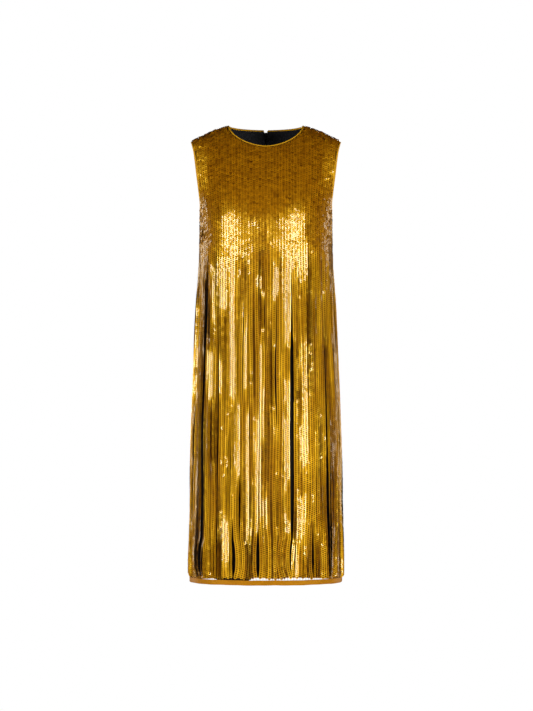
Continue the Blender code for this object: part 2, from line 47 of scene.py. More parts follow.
# Photograph
PHOTO_WIDTH = 533
PHOTO_HEIGHT = 711
PIXEL = 0.0021
MIDDLE_PIXEL = 265.9
SHOULDER_PIXEL = 125.5
CAMERA_DISTANCE = 6.0
CAMERA_HEIGHT = -(PHOTO_HEIGHT / 2 - SHOULDER_PIXEL) * PIXEL
SENSOR = 36

# Cloth, as in the frame
SEAM_GAP = 0.0003
YOKE_THICKNESS = 0.0016
SLIP_THICKNESS = 0.0010
SLIP_DEPTH = YOKE_THICKNESS + SEAM_GAP
CLOTH_DEPTH = SLIP_DEPTH + SLIP_THICKNESS

FORM_COLUMNS = ("height", "half_width", "front", "back", "squareness")
FORM = (
    (0.000, 0.0770, 0.0300, 0.0540, 2.0),
    (-0.009, 0.1035, 0.0370, 0.0600, 2.0),
    (-0.018, 0.1245, 0.0430, 0.0660, 2.0),
    (-0.036, 0.1585, 0.0550, 0.0780, 2.0),
    (-0.065, 0.1680, 0.0730, 0.0890, 2.1),
    (-0.100, 0.1670, 0.0910, 0.0970, 2.2),
    (-0.145, 0.1500, 0.1100, 0.1030, 2.2),
    (-0.190, 0.1390, 0.1210, 0.1060, 2.2),
    (-0.225, 0.1385, 0.1240, 0.1070, 2.2),
    (-0.252, 0.1390, 0.1245, 0.1070, 2.2),
    (-0.386, 0.1450, 0.1230, 0.1070, 2.2),
    (-0.521, 0.1510, 0.1210, 0.1070, 2.2),
    (-0.655, 0.1570, 0.1190, 0.1070, 2.2),
    (-0.790, 0.1595, 0.1180, 0.1075, 2.2),
    (-0.924, 0.1620, 0.1180, 0.1080, 2.2),
    (-0.957, 0.1610, 0.1170, 0.1070, 2.2),
)
NECK_HALF_WIDTH = 0.0770
NECK_FRONT_DROP = 0.0463
NECK_BACK_DROP = 0.0050
NECK_ROUNDNESS = 1.75
SHOULDER_TIP = -0.0357
ARMPIT = -0.1900
ARMHOLE_COLUMNS = ("height", "front_edge", "back_edge")
ARMHOLE = (
    (SHOULDER_TIP, 0.1580, 0.1580),
    (-0.050, 0.1530, 0.1545),
    (-0.067, 0.1490, 0.1520),
    (-0.084, 0.1460, 0.1500),
    (-0.101, 0.1440, 0.1480),
    (-0.134, 0.1400, 0.1435),
    (-0.168, 0.1385, 0.1395),
    (ARMPIT, 0.1390, 0.1390),
)
BINDING_WIDTH = 0.0030
BINDING_THICKNESS = 0.0036
YOKE_END = -0.2520
HEM = -0.9570
BAND_HEIGHT = 0.0105
BAND_THICKNESS = 0.0026
BAND_DEPTH = 0.0006
BAND_TOP = HEM + BAND_HEIGHT
SEQUIN_END = BAND_TOP + 0.0040
SLIP_END = BAND_TOP + 0.0046
SLIP_BEHIND = 0.0080
SLIP_DIP_MIDDLE = -0.0700
SLIP_DIP_HALF = 0.0420
SLIP_HANG_DEPTH = 0.0052
SLIP_HANG_START = -0.2600
SLIP_HANG_FULL = -0.3200
SLIP_FOLD_LENGTH = 0.3000
ZIP_SPLAY = 0.0048
ZIP_SPLAY_END = -0.0200
SPLAY_WIDTH = 0.0140
ZIP_TOP = -0.0190
ZIP_END = -0.5000
CHAIN_WIDTH = 0.0048
CHAIN_THICKNESS = 0.0016
TOOTH_PITCH = 0.0010
TOOTH_HALF = 0.00036
PANEL_EDGE = BINDING_WIDTH * 0.7
GROUND_DEPTH = 0.0002

# Steps of the meshes
SECTION_STEPS = 240
EDGE_STEPS = 120
NECK_STEPS = 72
ARMHOLE_STEPS = 64
HEM_STEPS = 120
BINDING_SIDES = 12
PANEL_COLUMNS = 64
SHOULDER_COLUMNS = 10
ARMHOLE_ROWS = 22
SEAM_ROWS = 5
SLIP_ROWS = 40

# Strings and sequins
STRINGS_A_SIDE = 69
THREAD_HALF = 0.00028
THREAD_DEPTH = 0.0010
THREAD_ROWS = 8
SEQUIN_PITCH = 0.0043
SEQUIN_RADIUS = 0.0035
SEQUIN_HOLE = 0.00065
SEQUIN_SIDES = 10
SEQUIN_CUP = 0.00013
SHINGLE_TILT = math.radians(3.5)
YOKE_LIFT = 0.0008
ODD_LIFT = 0.0003
EDGE_CLEAR = 0.0056
ZIP_CLEAR = 0.0018
SHOULDER_CLEAR = 0.0008
YOKE_STEP = 0.0010
YOKE_RUN = 0.3
EXTRA_STRINGS = 10
LEAST_STEPS = 4
ROW = 0.0043
FREE_ROWS = int((YOKE_END - SEQUIN_END) / ROW) + 1
SLOPE_ROWS = 0.6

# How strongly the painted shade round a hole shows, and the tone: on the yoke, and how much more on the
# strings. The strings' extra tone also makes up for their stronger painted shade.
YOKE_PAINTED_SHADE = 0.68
STRING_PAINTED_SHADE = 0.32
YOKE_TONE = 0.44
STRING_TONE = 0.20
BLEND_ROWS = 12
YOKE_TONE_SPREAD = 0.11
STRING_TONE_SPREAD = 0.12

# Smooth random waves over the strings: rows a wave, strings a wave, how stepped from string to string, amount
SWAY = (30, 3.0, 0.3, 0.0011)
OWN_SWAY = (40, 1.2, 0.9, 0.0003)
BOW = (400, 5.0, 0.2, 0.0128)
TURN = (34, 4.0, 0.4, math.radians(7))
OWN_TURN = (30, 1.1, 1.0, math.radians(18))
RIPPLE = (4.5, 2.2, 0.0, math.radians(4.5))
LAYERS = (40, 2.4, 0.6, 0.5)
STREAK_BREAKS = (22, 1.0, 1.0, 0.9)
TONES = (45, 1.2, 0.9, 0.42)

# How the strings come loose below the yoke and are caught again by the hem band
LOOSE_SHARE = 0.16
LOOSE_POWER = 1.5
CAUGHT_LENGTH = 0.085
CAUGHT_QUICKLY = 4
LIFT_SHARE = 0.08
LAYER_DEPTH = 0.0024
LAYER_LIFT = 0.0010
SINK_SHARE = 0.6

# Where the strings part, half way down: place, top, bottom, width, sink
FRONT_SLITS = (
    (-0.1500, -0.300, -0.930, 0.0022, 0.0010),
    (-0.1300, -0.262, -0.945, 0.0095, 0.0018),
    (-0.1020, -0.420, -0.940, 0.0020, 0.0012),
    (-0.0640, -0.820, -0.946, 0.0056, 0.0014),
    (-0.0480, -0.280, -0.600, 0.0022, 0.0016),
    (-0.0060, -0.290, -0.480, 0.0016, 0.0012),
    (-0.0150, -0.830, -0.946, 0.0056, 0.0012),
    (0.0255, -0.285, -0.640, 0.0024, 0.0012),
    (0.0570, -0.268, -0.900, 0.0076, 0.0018),
    (0.0940, -0.800, -0.945, 0.0044, 0.0012),
    (0.1270, -0.266, -0.940, 0.0055, 0.0016),
    (0.1500, -0.320, -0.930, 0.0024, 0.0010),
)
BACK_SLITS = (
    (-0.1440, -0.290, -0.940, 0.0030, 0.0012),
    (-0.1100, -0.270, -0.945, 0.0050, 0.0016),
    (-0.0720, -0.380, -0.944, 0.0026, 0.0012),
    (-0.0380, -0.265, -0.900, 0.0042, 0.0016),
    (0.0000, -0.262, -0.945, 0.0036, 0.0014),
    (0.0470, -0.340, -0.940, 0.0030, 0.0012),
    (0.0830, -0.266, -0.945, 0.0054, 0.0018),
    (0.1190, -0.400, -0.945, 0.0030, 0.0012),
    (0.1480, -0.300, -0.930, 0.0024, 0.0010),
)
SLIT_REACH = 8
SINK_REACH = 2.6
SLIT_WIDEST = 0.62
SLIT_EXTRA = 0.0016

# Runs of strings that face a light, as seen from the front in the plane through the shoulders:
# place, width, top, bottom, share
STREAKS = (
    (-0.0916, 0.0155, -0.270, -0.392, 1.0),
    (-0.0705, 0.0111, -0.235, -0.585, 1.0),
    (-0.0775, 0.0270, -0.176, -0.245, 0.80),
    (-0.1106, 0.0073, -0.287, -0.425, 1.0),
    (-0.1163, 0.0105, -0.461, -0.585, 1.0),
    (-0.0974, 0.0063, -0.492, -0.566, 1.0),
    (-0.0586, 0.0084, -0.585, -0.744, 1.0),
    (-0.0460, 0.0084, -0.366, -0.562, 1.0),
    (-0.0365, 0.0063, -0.270, -0.301, 1.0),
    (-0.0365, 0.0063, -0.585, -0.870, 1.0),
    (-0.0145, 0.0126, -0.301, -0.356, 1.0),
    (-0.0171, 0.0073, -0.604, -0.881, 1.0),
    (-0.0103, 0.0084, -0.440, -0.677, 1.0),
    (-0.0050, 0.0105, -0.770, -0.854, 1.0),
    (0.0202, 0.0105, -0.282, -0.379, 1.0),
    (0.0223, 0.0063, -0.618, -0.660, 1.0),
    (0.0470, 0.0181, -0.235, -0.450, 1.0),
    (0.0640, 0.0340, -0.176, -0.245, 0.80),
    (0.0464, 0.0126, -0.522, -0.862, 1.0),
    (0.0769, 0.0189, -0.240, -0.310, 1.0),
    (0.0790, 0.0147, -0.450, -0.713, 1.0),
    (-0.0864, 0.0115, -0.816, -0.921, 1.0),
    (-0.0995, 0.0063, -0.723, -0.799, 1.0),
    (0.0752, 0.0126, -0.770, -0.885, 1.0),
    (0.0590, 0.0126, -0.875, -0.950, 1.0),
    (-0.0125, 0.1300, -0.185, -0.275, 0.62),
    (-0.1420, 0.0420, -0.040, -0.140, 0.60),
    (0.1370, 0.0340, -0.045, -0.140, 0.50),
)
STREAK_AZIMUTH = math.radians(24)
DODGE_LEAST = math.radians(10)
DODGE_SHARE = 0.30
STREAK_FADE = 0.040
STREAK_EDGE = 0.0045
STREAK_SPREAD = 0.0018
SIDE_START = math.radians(55)
SIDE_TURN = math.radians(24)
STRING_JITTER = math.radians(2.7)
YOKE_JITTER = math.radians(2.0)
STREAK_STEADY = 0.4
STREAK_WHOLE = 1.65
STREAK_MIDDLE = 0.03
RIPPLE_TOP = -0.150
RIPPLE_GROWS = 0.050
RIPPLE_LEAST = 0.25
LEAN_END = 0.138
LEAN_GROWS = 0.030

# Where the yoke's sequins lie less evenly: near the shoulders and near the armholes
SHOULDER_START = -0.055
SHOULDER_GROWS = 0.040
SHOULDER_ROUGH = 2.5
ARMHOLE_START = 0.090
ARMHOLE_GROWS = 0.030
ARMHOLE_ROUGH = 1.5

# Light
SOFTBOX_DISTANCE = 2.6
SOFTBOX_HEIGHT = 1.9
SOFTBOX_MIDDLE = -0.52
# Name, azimuth, width, radiance
SOFTBOXES = (
    ("key_right_hand", -50, 0.42, 17.8),
    ("key_left_hand", 45, 0.50, 16.6),
    ("back_right_hand", -128, 0.60, 3.4),
    ("back_left_hand", 128, 0.60, 2.6),
    ("back_middle", 180, 0.80, 8.5),
)
BACKDROP = 1.0
ROOM_ROUND = ((0.0, 0.16), (0.12, 0.16), (0.26, 0.10), (0.45, 0.04), (0.75, 0.06), (1.0, 0.14))
ROOM_UP = ((0.0, 0.5), (0.40, 0.9), (0.55, 1.0), (0.62, 0.30), (0.72, 0.10), (1.0, 0.10))
FLOOR = -1.50
FLOOR_RADIUS = 1.15

# Foil of the sequins by tone
FOIL = (
    (0.0, (0.124, 0.027, 0.0003)),
    (0.3, (0.368, 0.121, 0.0009)),
    (0.6, (0.615, 0.229, 0.0020)),
    (1.0, (0.800, 0.355, 0.0040)),
)

# Cloths
GOLD_SHINE = (1.0, 0.55, 0.08)
DULL_SHINE = (0.20, 0.16, 0.15)
WHITE_SHINE = (1.0, 1.0, 1.0)
# Name, dark and light colour, roughness, sheen, thread pitch, relief, colour of its shine
CLOTHS = (
    ("gold_satin", (0.37, 0.139, 0.003), (0.52, 0.200, 0.005), 0.50, 0.0, 0.00035, 0.25, GOLD_SHINE),
    # The bindings are the hem's satin made lighter: painted highlight of their narrow, rounded edges
    ("gold_binding_painted_highlight", (0.80, 0.37, 0.008), (0.96, 0.50, 0.016), 0.42, 0.0, 0.00035, 0.25, GOLD_SHINE),
    # The slip's outer face is darker than black cloth, with its shine dulled: painted shade where it shows in
    # the slits between the strings
    ("black_slip", (0.004, 0.003, 0.003), (0.007, 0.006, 0.005), 0.75, 0.0, 0.00040, 0.15, DULL_SHINE),
    # Its inner face is the same cloth made lighter: partly the slip's other side, partly painted light inside
    # the neck
    ("slip_inside_painted_light", (0.017, 0.017, 0.021), (0.025, 0.025, 0.031), 0.75, 0.0, 0.00040, 0.15, WHITE_SHINE),
    ("yoke_ground", (0.09, 0.034, 0.001), (0.17, 0.066, 0.003), 0.75, 0.0, 0.00060, 0.4, GOLD_SHINE),
    ("gold_thread", (0.14, 0.055, 0.004), (0.30, 0.13, 0.012), 0.60, 0.1, 0.00030, 0.3, GOLD_SHINE),
)


# Form

def clamped(value):
    """A value kept from 0 to 1."""
    return np.clip(value, 0, 1)


def read_table(rows, columns, name, height):
    """Smooth values of one column of a table at the given heights."""
    rows = sorted(rows)
    knots = np.array([row[columns.index("height")] for row in rows])
    values = np.array([row[columns.index(name)] for row in rows])
    slopes = np.gradient(values, knots)
    height = np.clip(np.asarray(height, float), knots[0], knots[-1])
    low = np.clip(np.searchsorted(knots, height) - 1, 0, len(knots) - 2)
    step = knots[low + 1] - knots[low]
    share = (height - knots[low]) / step
    rest = 1 - share
    from_values = values[low] * (1 + 2 * share) * rest**2 + values[low + 1] * share**2 * (3 - 2 * share)
    from_slopes = slopes[low] * share * rest**2 - slopes[low + 1] * share**2 * rest
    return from_values + from_slopes * step


def form(name, height):
    return read_table(FORM, FORM_COLUMNS, name, height)


def surface(angle, height):
    """Points on the dress's outer surface. Angle 0 is the wearer's left, a quarter turn the centre front."""
    angle, height = np.broadcast_arrays(np.asarray(angle, float), np.asarray(height, float))
    power = 2 / form("squareness", height)
    across, along = np.cos(angle), np.sin(angle)
    reach = np.where(along >= 0, form("front", height), form("back", height))
    x = form("half_width", height) * np.sign(across) * np.abs(across) ** power
    y = -reach * np.sign(along) * np.abs(along) ** power
    return np.stack([x, y, height], axis=-1)


def normal(angle, height):
    """Outward unit normals of the surface."""
    turn, drop = 2e-3, 5e-4
    along = surface(angle + turn, height) - surface(angle - turn, height)
    middle = np.minimum(height, -drop)
    across = np.cross(surface(angle, middle + drop) - surface(angle, middle - drop), along)
    across /= np.linalg.norm(across, axis=-1, keepdims=True)
    outward = np.sign(np.sum(across * surface(angle, height) * [1, 1, 0], axis=-1, keepdims=True))
    return across * np.where(outward == 0, 1, outward)


def inside(angle, height, depth):
    """Points a given depth inside the surface."""
    return surface(angle, height) - normal(angle, height) * np.asarray(depth)[..., None]


def run_along(points):
    """How far along a line of points each one lies."""
    return np.concatenate([[0], np.cumsum(np.linalg.norm(np.diff(points, axis=0), axis=1))])


def ease(share):
    return share * share * (3 - 2 * share)


def level(height, side):
    """Angles round half of a level section, and how far round it each one lies."""
    angles = np.linspace(0, side * HALF_TURN, SECTION_STEPS + 1)
    return angles, run_along(surface(angles, height))


def even_angles(height, fractions, side):
    angles, run = level(height, side)
    return np.interp(fractions, run / run[-1], angles)


def angle_at(x, height, side):
    """Angle of the surface point that has this x at this height."""
    share = clamped(np.abs(x) / form("half_width", height))
    turn = np.arccos(share ** (form("squareness", height) / 2))
    return side * np.where(np.asarray(x) < 0, HALF_TURN - turn, turn)


def evenly(angle, height, count):
    """The same curve on the surface with count even steps."""
    run = run_along(surface(angle, height))
    even = np.linspace(0, run[-1], count + 1)
    return np.interp(even, run, angle), np.interp(even, run, height)


def armhole_half(side, count):
    """The left armhole from shoulder tip to armpit, along its front edge (side 1) or back edge (-1)."""
    turn = np.linspace(0, HALF_TURN, SECTION_STEPS + 1)
    middle, half = (SHOULDER_TIP + ARMPIT) / 2, (SHOULDER_TIP - ARMPIT) / 2
    height = middle + half * np.cos(turn)
    angle = angle_at(armhole_reach(height, side), height, side)
    angle[0] = angle[-1] = 0
    return evenly(angle, height, count)


def armhole_reach(height, side):
    return read_table(ARMHOLE, ARMHOLE_COLUMNS, "front_edge" if side > 0 else "back_edge", height)


def neck_height(x, side):
    drop = NECK_FRONT_DROP if side > 0 else NECK_BACK_DROP
    share = clamped(1 - (np.abs(x) / NECK_HALF_WIDTH) ** NECK_ROUNDNESS)
    return -drop * share ** (1 / NECK_ROUNDNESS)


def neck_half(side, count):
    """Half of the neckline, from left to right shoulder, at the front (side 1) or the back (-1)."""
    x = NECK_HALF_WIDTH * np.cos(np.linspace(0, HALF_TURN, SECTION_STEPS + 1))
    height = neck_height(x, side)
    return evenly(angle_at(x, height, side), height, count)


def edge_loop(half, count, inwards, amount=0.0):
    """A closed edge, front half then back half, inset by an amount: its angles, heights and frame."""
    front, back = half(1, count), half(-1, count)
    angle, height = [np.concatenate([ahead, behind[-2:0:-1]]) for ahead, behind in zip(front, back)]
    points, out = surface(angle, height), normal(angle, height)
    along = np.roll(points, -1, axis=0) - np.roll(points, 1, axis=0)
    into = np.cross(out, along)
    into *= inwards / np.linalg.norm(into, axis=1, keepdims=True)
    turn, drop = 1e-3, 1e-4
    by_angle = (surface(angle + turn, height) - surface(angle - turn, height)) / (2 * turn)
    by_height = (surface(angle, height) - surface(angle, height - drop)) / drop
    jacobian = np.stack([by_angle, by_height], axis=-1)
    moves = np.einsum("nij,nj->ni", np.linalg.pinv(jacobian), into * amount)
    return angle + moves[:, 0], height + moves[:, 1], (points, out, into)


def loop_side(values, side):
    ordered = values if side > 0 else np.roll(values[::-1], 1, axis=0)
    return ordered[: len(values) // 2 + 1]


def splay(height):
    """How far the back panels' edges stand open above the zip."""
    return ZIP_SPLAY * clamped((height - ZIP_SPLAY_END) / (-NECK_BACK_DROP - ZIP_SPLAY_END))


def clear_of_zip(points):
    """Keeps back panels off the centre line, and opens their top corners above the zip."""
    points = np.array(points)
    near = clamped(1 - np.abs(points[..., 0]) / SPLAY_WIDTH)
    points[..., 0] += (SEAM_GAP / 2 + splay(points[..., 2])) * near
    return points


def mirrored(points):
    return points * [-1, 1, 1]


# Meshes

def add_object(name, data):
    made = bpy.data.objects.new(name, data)
    bpy.context.scene.collection.objects.link(made)
    return made


def add_piece(name, mesh, finish, sharp):
    """A piece with this mesh, smooth but for edges that turn by more than the given degrees."""
    mesh.materials.append(finish)
    mesh.shade_smooth()
    mesh.set_sharp_from_angle(angle=math.radians(sharp))
    return add_object(name, mesh)


def add_mesh(name, vertices, faces, finish, sharp=40):
    mesh = bpy.data.meshes.new(name)
    mesh.from_pydata(np.asarray(vertices).tolist(), [], faces)
    work = bmesh.new()
    work.from_mesh(mesh)
    bmesh.ops.recalc_face_normals(work, faces=work.faces)
    work.to_mesh(mesh)
    work.free()
    return add_piece(name, mesh, finish, sharp)


def add_wall(name, outer, inner, finish, lining=None):
    """A closed wall between two grids of points, with a lining on its inner face if there is one."""
    rows, columns = outer.shape[:2]
    vertices = np.concatenate([outer.reshape(-1, 3), inner.reshape(-1, 3)])
    under = rows * columns
    faces = []
    for r in range(rows - 1):
        for c in range(columns - 1):
            a, b = r * columns + c, (r + 1) * columns + c
            faces.append((a, a + 1, b + 1, b))
            faces.append((under + b, under + b + 1, under + a + 1, under + a))
    rim = list(range(columns))
    rim += [r * columns + columns - 1 for r in range(1, rows)]
    rim += [(rows - 1) * columns + c for c in range(columns - 2, -1, -1)]
    rim += [r * columns for r in range(rows - 2, 0, -1)]
    for a, b in zip(rim, rim[1:] + rim[:1]):
        faces.append((b, a, under + a, under + b))
    made = add_mesh(name, vertices, faces, finish)
    if lining:
        made.data.materials.append(lining)
        for face in made.data.polygons:
            face.material_index = int(min(face.vertices) >= under)
    return made


def add_sweep(name, sections, closed, finish):
    """A solid swept through sections of equal point count, a ring if closed and capped if not."""
    count, sides = sections.shape[:2]
    faces = []
    for i in range(count if closed else count - 1):
        here, there = i * sides, (i + 1) % count * sides
        for k in range(sides):
            m = (k + 1) % sides
            faces.append((here + k, here + m, there + m, there + k))
    if not closed:
        faces.append(tuple(range(sides)))
        faces.append(tuple(range((count - 1) * sides, count * sides)))
    return add_mesh(name, sections.reshape(-1, 3), faces, finish)


def unit(vectors):
    return vectors / np.linalg.norm(vectors, axis=-1, keepdims=True)


def square_to(vectors, axis):
    """Unit vectors turned square to an axis."""
    return unit(vectors - axis * np.sum(vectors * axis, axis=1, keepdims=True))


def sequin_mesh(name, centres, down, out, tone, shade):
    """Round sequins: each one a thin dished ring that faces out, sewn through the hole at its middle; their
    shade attribute sets the painted shade round each hole.
    """
    count = len(centres)
    out = square_to(out, down)
    turns = (np.arange(SEQUIN_SIDES) + 0.5) * 2 * HALF_TURN / SEQUIN_SIDES
    spokes = np.cross(down, out)[:, None] * np.cos(turns)[None, :, None]
    spokes = spokes + down[:, None] * np.sin(turns)[None, :, None]
    rim = centres[:, None] + spokes * SEQUIN_RADIUS
    hole = centres[:, None] + spokes * SEQUIN_HOLE - out[:, None] * SEQUIN_CUP
    vertices = np.concatenate([rim, hole], axis=1).reshape(-1, 3)
    k = np.arange(SEQUIN_SIDES)
    m = (k + 1) % SEQUIN_SIDES
    inner, next_inner = k + SEQUIN_SIDES, m + SEQUIN_SIDES
    one = [np.stack(corners, axis=1) for corners in ((k, m, inner), (m, next_inner, inner))]
    triangles = np.concatenate(one)[None] + (np.arange(count) * 2 * SEQUIN_SIDES)[:, None, None]
    mesh = bpy.data.meshes.new(name)
    mesh.vertices.add(len(vertices))
    mesh.vertices.foreach_set("co", vertices.astype(np.float32).ravel())
    mesh.loops.add(triangles.size)
    mesh.loops.foreach_set("vertex_index", triangles.astype(np.int32).ravel())
    mesh.polygons.add(triangles.size // 3)
    mesh.polygons.foreach_set("loop_start", np.arange(0, triangles.size, 3, dtype=np.int32))
    # shade carries the painted shade round each hole, tone the foil's tone
    for key, at_rim, at_hole in (("shade", np.zeros(count), shade), ("tone", tone, tone)):
        values = np.repeat(np.stack([at_rim, at_hole], axis=1).ravel(), SEQUIN_SIDES)
        mesh.attributes.new(key, "FLOAT", "POINT").data.foreach_set("value", values.astype(np.float32))
    mesh.update(calc_edges=True)
    return add_piece(name, mesh, SEQUIN, 50)


def smooth_noise(wave, rows=FREE_ROWS + 1, columns=STRINGS_A_SIDE):
    """Random values that change slowly over rows and strings, by one of the waves above."""
    row_scale, column_scale, stepped, amount = wave
    wide = int(columns / column_scale) + 3
    tall = int(rows / row_scale) + 3
    coarse = RANDOM.normal(0, 1, (tall, wide))
    low, share = wave_steps(columns, column_scale)
    share = share * (1 - stepped) + np.round(share) * stepped
    across = coarse[:, low] * (1 - share) + coarse[:, low + 1] * share
    low, share = wave_steps(rows, row_scale)
    share = share[:, None]
    return (across[low] * (1 - share) + across[low + 1] * share) * amount


def wave_steps(count, scale):
    """Which knot each of a count of places comes after, and how far on to the next one it is."""
    place = np.arange(count) / scale + RANDOM.uniform(0, 1)
    low = place.astype(int)
    share = place - low
    return low, ease(share)


# Materials

def new_material(name, colour, roughness, more=()):
    made = bpy.data.materials.new(name)
    made.use_nodes = True
    shader = made.node_tree.nodes["Principled BSDF"]
    for key, value in (("Base Color", (*colour, 1.0)), ("Roughness", roughness), *more):
        shader.inputs[key].default_value = value
    return made, shader


def node(owner, kind, **values):
    made = owner.node_tree.nodes.new(kind)
    for key, value in values.items():
        if key in made.inputs:
            made.inputs[key].default_value = value
        else:
            setattr(made, key, value)
    return made


def link(owner, source, target):
    owner.node_tree.links.new(source, target)


def ramp(owner, source, stops):
    """Colours, or greys if a stop has one number, along a value."""
    made = node(owner, "ShaderNodeValToRGB")
    elements = made.color_ramp.elements
    while len(elements) < len(stops):
        elements.new(0.5)
    for element, (place, colour) in zip(elements, stops):
        element.position = place
        element.color = (*colour, 1) if isinstance(colour, tuple) else (colour, colour, colour, 1)
    link(owner, source, made.inputs["Fac"])
    return made.outputs["Color"]


def mapped(owner, source, span, values, kind="LINEAR"):
    """A value mapped from one span to another."""
    made = node(owner, "ShaderNodeMapRange", interpolation_type=kind)
    for name, value in zip(("From Min", "From Max", "To Min", "To Max"), (*span, *values)):
        made.inputs[name].default_value = value
    link(owner, source, made.inputs["Value"])
    return made.outputs["Result"]


def relief(owner, source, strength, distance, shader):
    bump = node(owner, "ShaderNodeBump", Strength=strength, Distance=distance)
    link(owner, source, bump.inputs["Height"])
    link(owner, bump.outputs["Normal"], shader.inputs["Normal"])


def sequin_material():
    """Gold foil sequins: amber in the foil, yellow where it catches a light, and white in its clear face;
    round each hole the foil is painted shade, dark and without shine, wider than the hole in the mesh.
    """
    coat = ("Coat IOR", 1.5), ("Coat Roughness", 0.10)
    foil = ("IOR", 3.2), ("Specular Tint", (1.0, 0.61, 0.020, 1.0)), *coat
    made, shader = new_material("gold_sequins", (0.20, 0.078, 0.001), 0.38, foil)
    tone = node(made, "ShaderNodeAttribute", attribute_name="tone").outputs["Fac"]
    shade = node(made, "ShaderNodeAttribute", attribute_name="shade").outputs["Fac"]
    # Painted shade: the foil round each hole, out past the hole cut in the mesh, turns dark and loses its
    # shine and coat
    hole = mapped(made, shade, (0.44, 0.69), (0, 1), "SMOOTHSTEP")
    mix = node(made, "ShaderNodeMix", data_type="RGBA", B=(0.05, 0.018, 0.001, 1.0))
    link(made, hole, mix.inputs["Factor"])
    link(made, ramp(made, tone, FOIL), mix.inputs["A"])
    link(made, mix.outputs["Result"], shader.inputs["Base Color"])
    link(made, mapped(made, hole, (0, 1), (0.50, 0)), shader.inputs["Specular IOR Level"])
    link(made, mapped(made, hole, (0, 1), (0.75, 0)), shader.inputs["Coat Weight"])
    link(made, mapped(made, tone, (0, 1), (0.34, 0.44)), shader.inputs["Roughness"])
    return made


def cloth_material(name, dark, light, roughness, sheen, thread, strength, shine):
    """Woven cloth: two crossed sets of threads in its relief and its colour."""
    nap = (("Specular Tint", (*shine, 1.0)), ("Sheen Weight", sheen), ("Sheen Roughness", 0.4))
    made, shader = new_material(name, light, roughness, nap)
    place = node(made, "ShaderNodeTexCoord").outputs["Object"]
    both = node(made, "ShaderNodeMath", operation="MULTIPLY")
    for slot, direction in enumerate("XZ"):
        wave = node(made, "ShaderNodeTexWave", bands_direction=direction, Distortion=0.6, Detail=1.0)
        wave.inputs["Scale"].default_value = 0.314 / thread
        link(made, place, wave.inputs["Vector"])
        link(made, wave.outputs["Fac"], both.inputs[slot])
    blotch = node(made, "ShaderNodeTexNoise", Scale=38.0, Detail=3.0)
    link(made, place, blotch.inputs["Vector"])
    shade = node(made, "ShaderNodeMath", operation="MULTIPLY_ADD")
    shade.inputs[1].default_value = 0.6
    link(made, both.outputs[0], shade.inputs[0])
    link(made, blotch.outputs["Fac"], shade.inputs[2])
    link(made, ramp(made, shade.outputs[0], ((0.25, dark), (0.95, light))), shader.inputs["Base Color"])
    relief(made, both.outputs[0], strength, thread * 0.4, shader)
    return made


def zip_material():
    made, shader = new_material("black_zip", (0.012, 0.012, 0.013), 0.30)
    place = node(made, "ShaderNodeTexCoord")
    noise = node(made, "ShaderNodeTexNoise", Scale=900.0, Detail=4.0)
    link(made, place.outputs["Object"], noise.inputs["Vector"])
    link(made, mapped(made, noise.outputs["Fac"], (0, 1), (0.22, 0.42)), shader.inputs["Roughness"])
    relief(made, noise.outputs["Fac"], 0.15, 0.0001, shader)
    return made


SEQUIN = sequin_material()
SATIN, BINDING_WITH_PAINTED_HIGHLIGHT, SLIP_WITH_PAINTED_SHADE, LINING_WITH_PAINTED_LIGHT, GROUND, THREAD = [cloth_material(*row) for row in CLOTHS]
ZIP = zip_material()


# Strings

def slit_opening(height, top, bottom):
    """How open a slit is at each height, from 0 at its ends to 1 at its widest."""
    share = (top - height) / (top - bottom)
    rise = np.sin(QUARTER_TURN * clamped(share / SLIT_WIDEST))
    fall = np.cos(QUARTER_TURN * clamped((share - SLIT_WIDEST) / (1 - SLIT_WIDEST)) ** 2)
    return np.where((share > 0) & (share < 1), rise * fall, 0.0)


def slit_moves(heights, fractions, slits, side):
    """How far each string is pushed round the dress, and sunk into it, at each height."""
    middle = (YOKE_END + HEM) / 2
    places = surface(even_angles(middle, fractions, side), middle)[:, 0]
    index = np.arange(len(fractions))[None, :]
    push = np.zeros((len(heights), len(fractions)))
    sink = np.zeros_like(push)
    for place, top, bottom, width, depth in slits:
        before = int(np.sum(places > place)) - 0.5
        opening = slit_opening(heights, top, bottom)[:, None]
        away = index - before
        near = clamped(1 - np.abs(away) / SLIT_REACH)
        push += np.sign(away) * (width + SLIT_EXTRA) / 2 * opening * near
        sink += depth * opening * clamped(1 - np.abs(away) / SINK_REACH)
    return push, sink


def seen_from_front(points):
    """Where points show from the camera: their x and height in the upright plane through the shoulders."""
    scale = CAMERA_DISTANCE / (CAMERA_DISTANCE + points[..., 1])
    return points[..., 0] * scale, CAMERA_HEIGHT + (points[..., 2] - CAMERA_HEIGHT) * scale


def streak_weight(points, wider=0.0):
    """How surely each place belongs to a run of strings that faces a light."""
    across, height = seen_from_front(points)
    weight = np.zeros(across.shape)
    for place, width, top, bottom, share in STREAKS:
        beside = clamped((width / 2 + wider - np.abs(across - place)) / STREAK_EDGE + 0.5)
        along = clamped(np.minimum(top - height, height - bottom) / STREAK_FADE + 0.5)
        weight = np.maximum(weight, beside * along * share)
    return weight


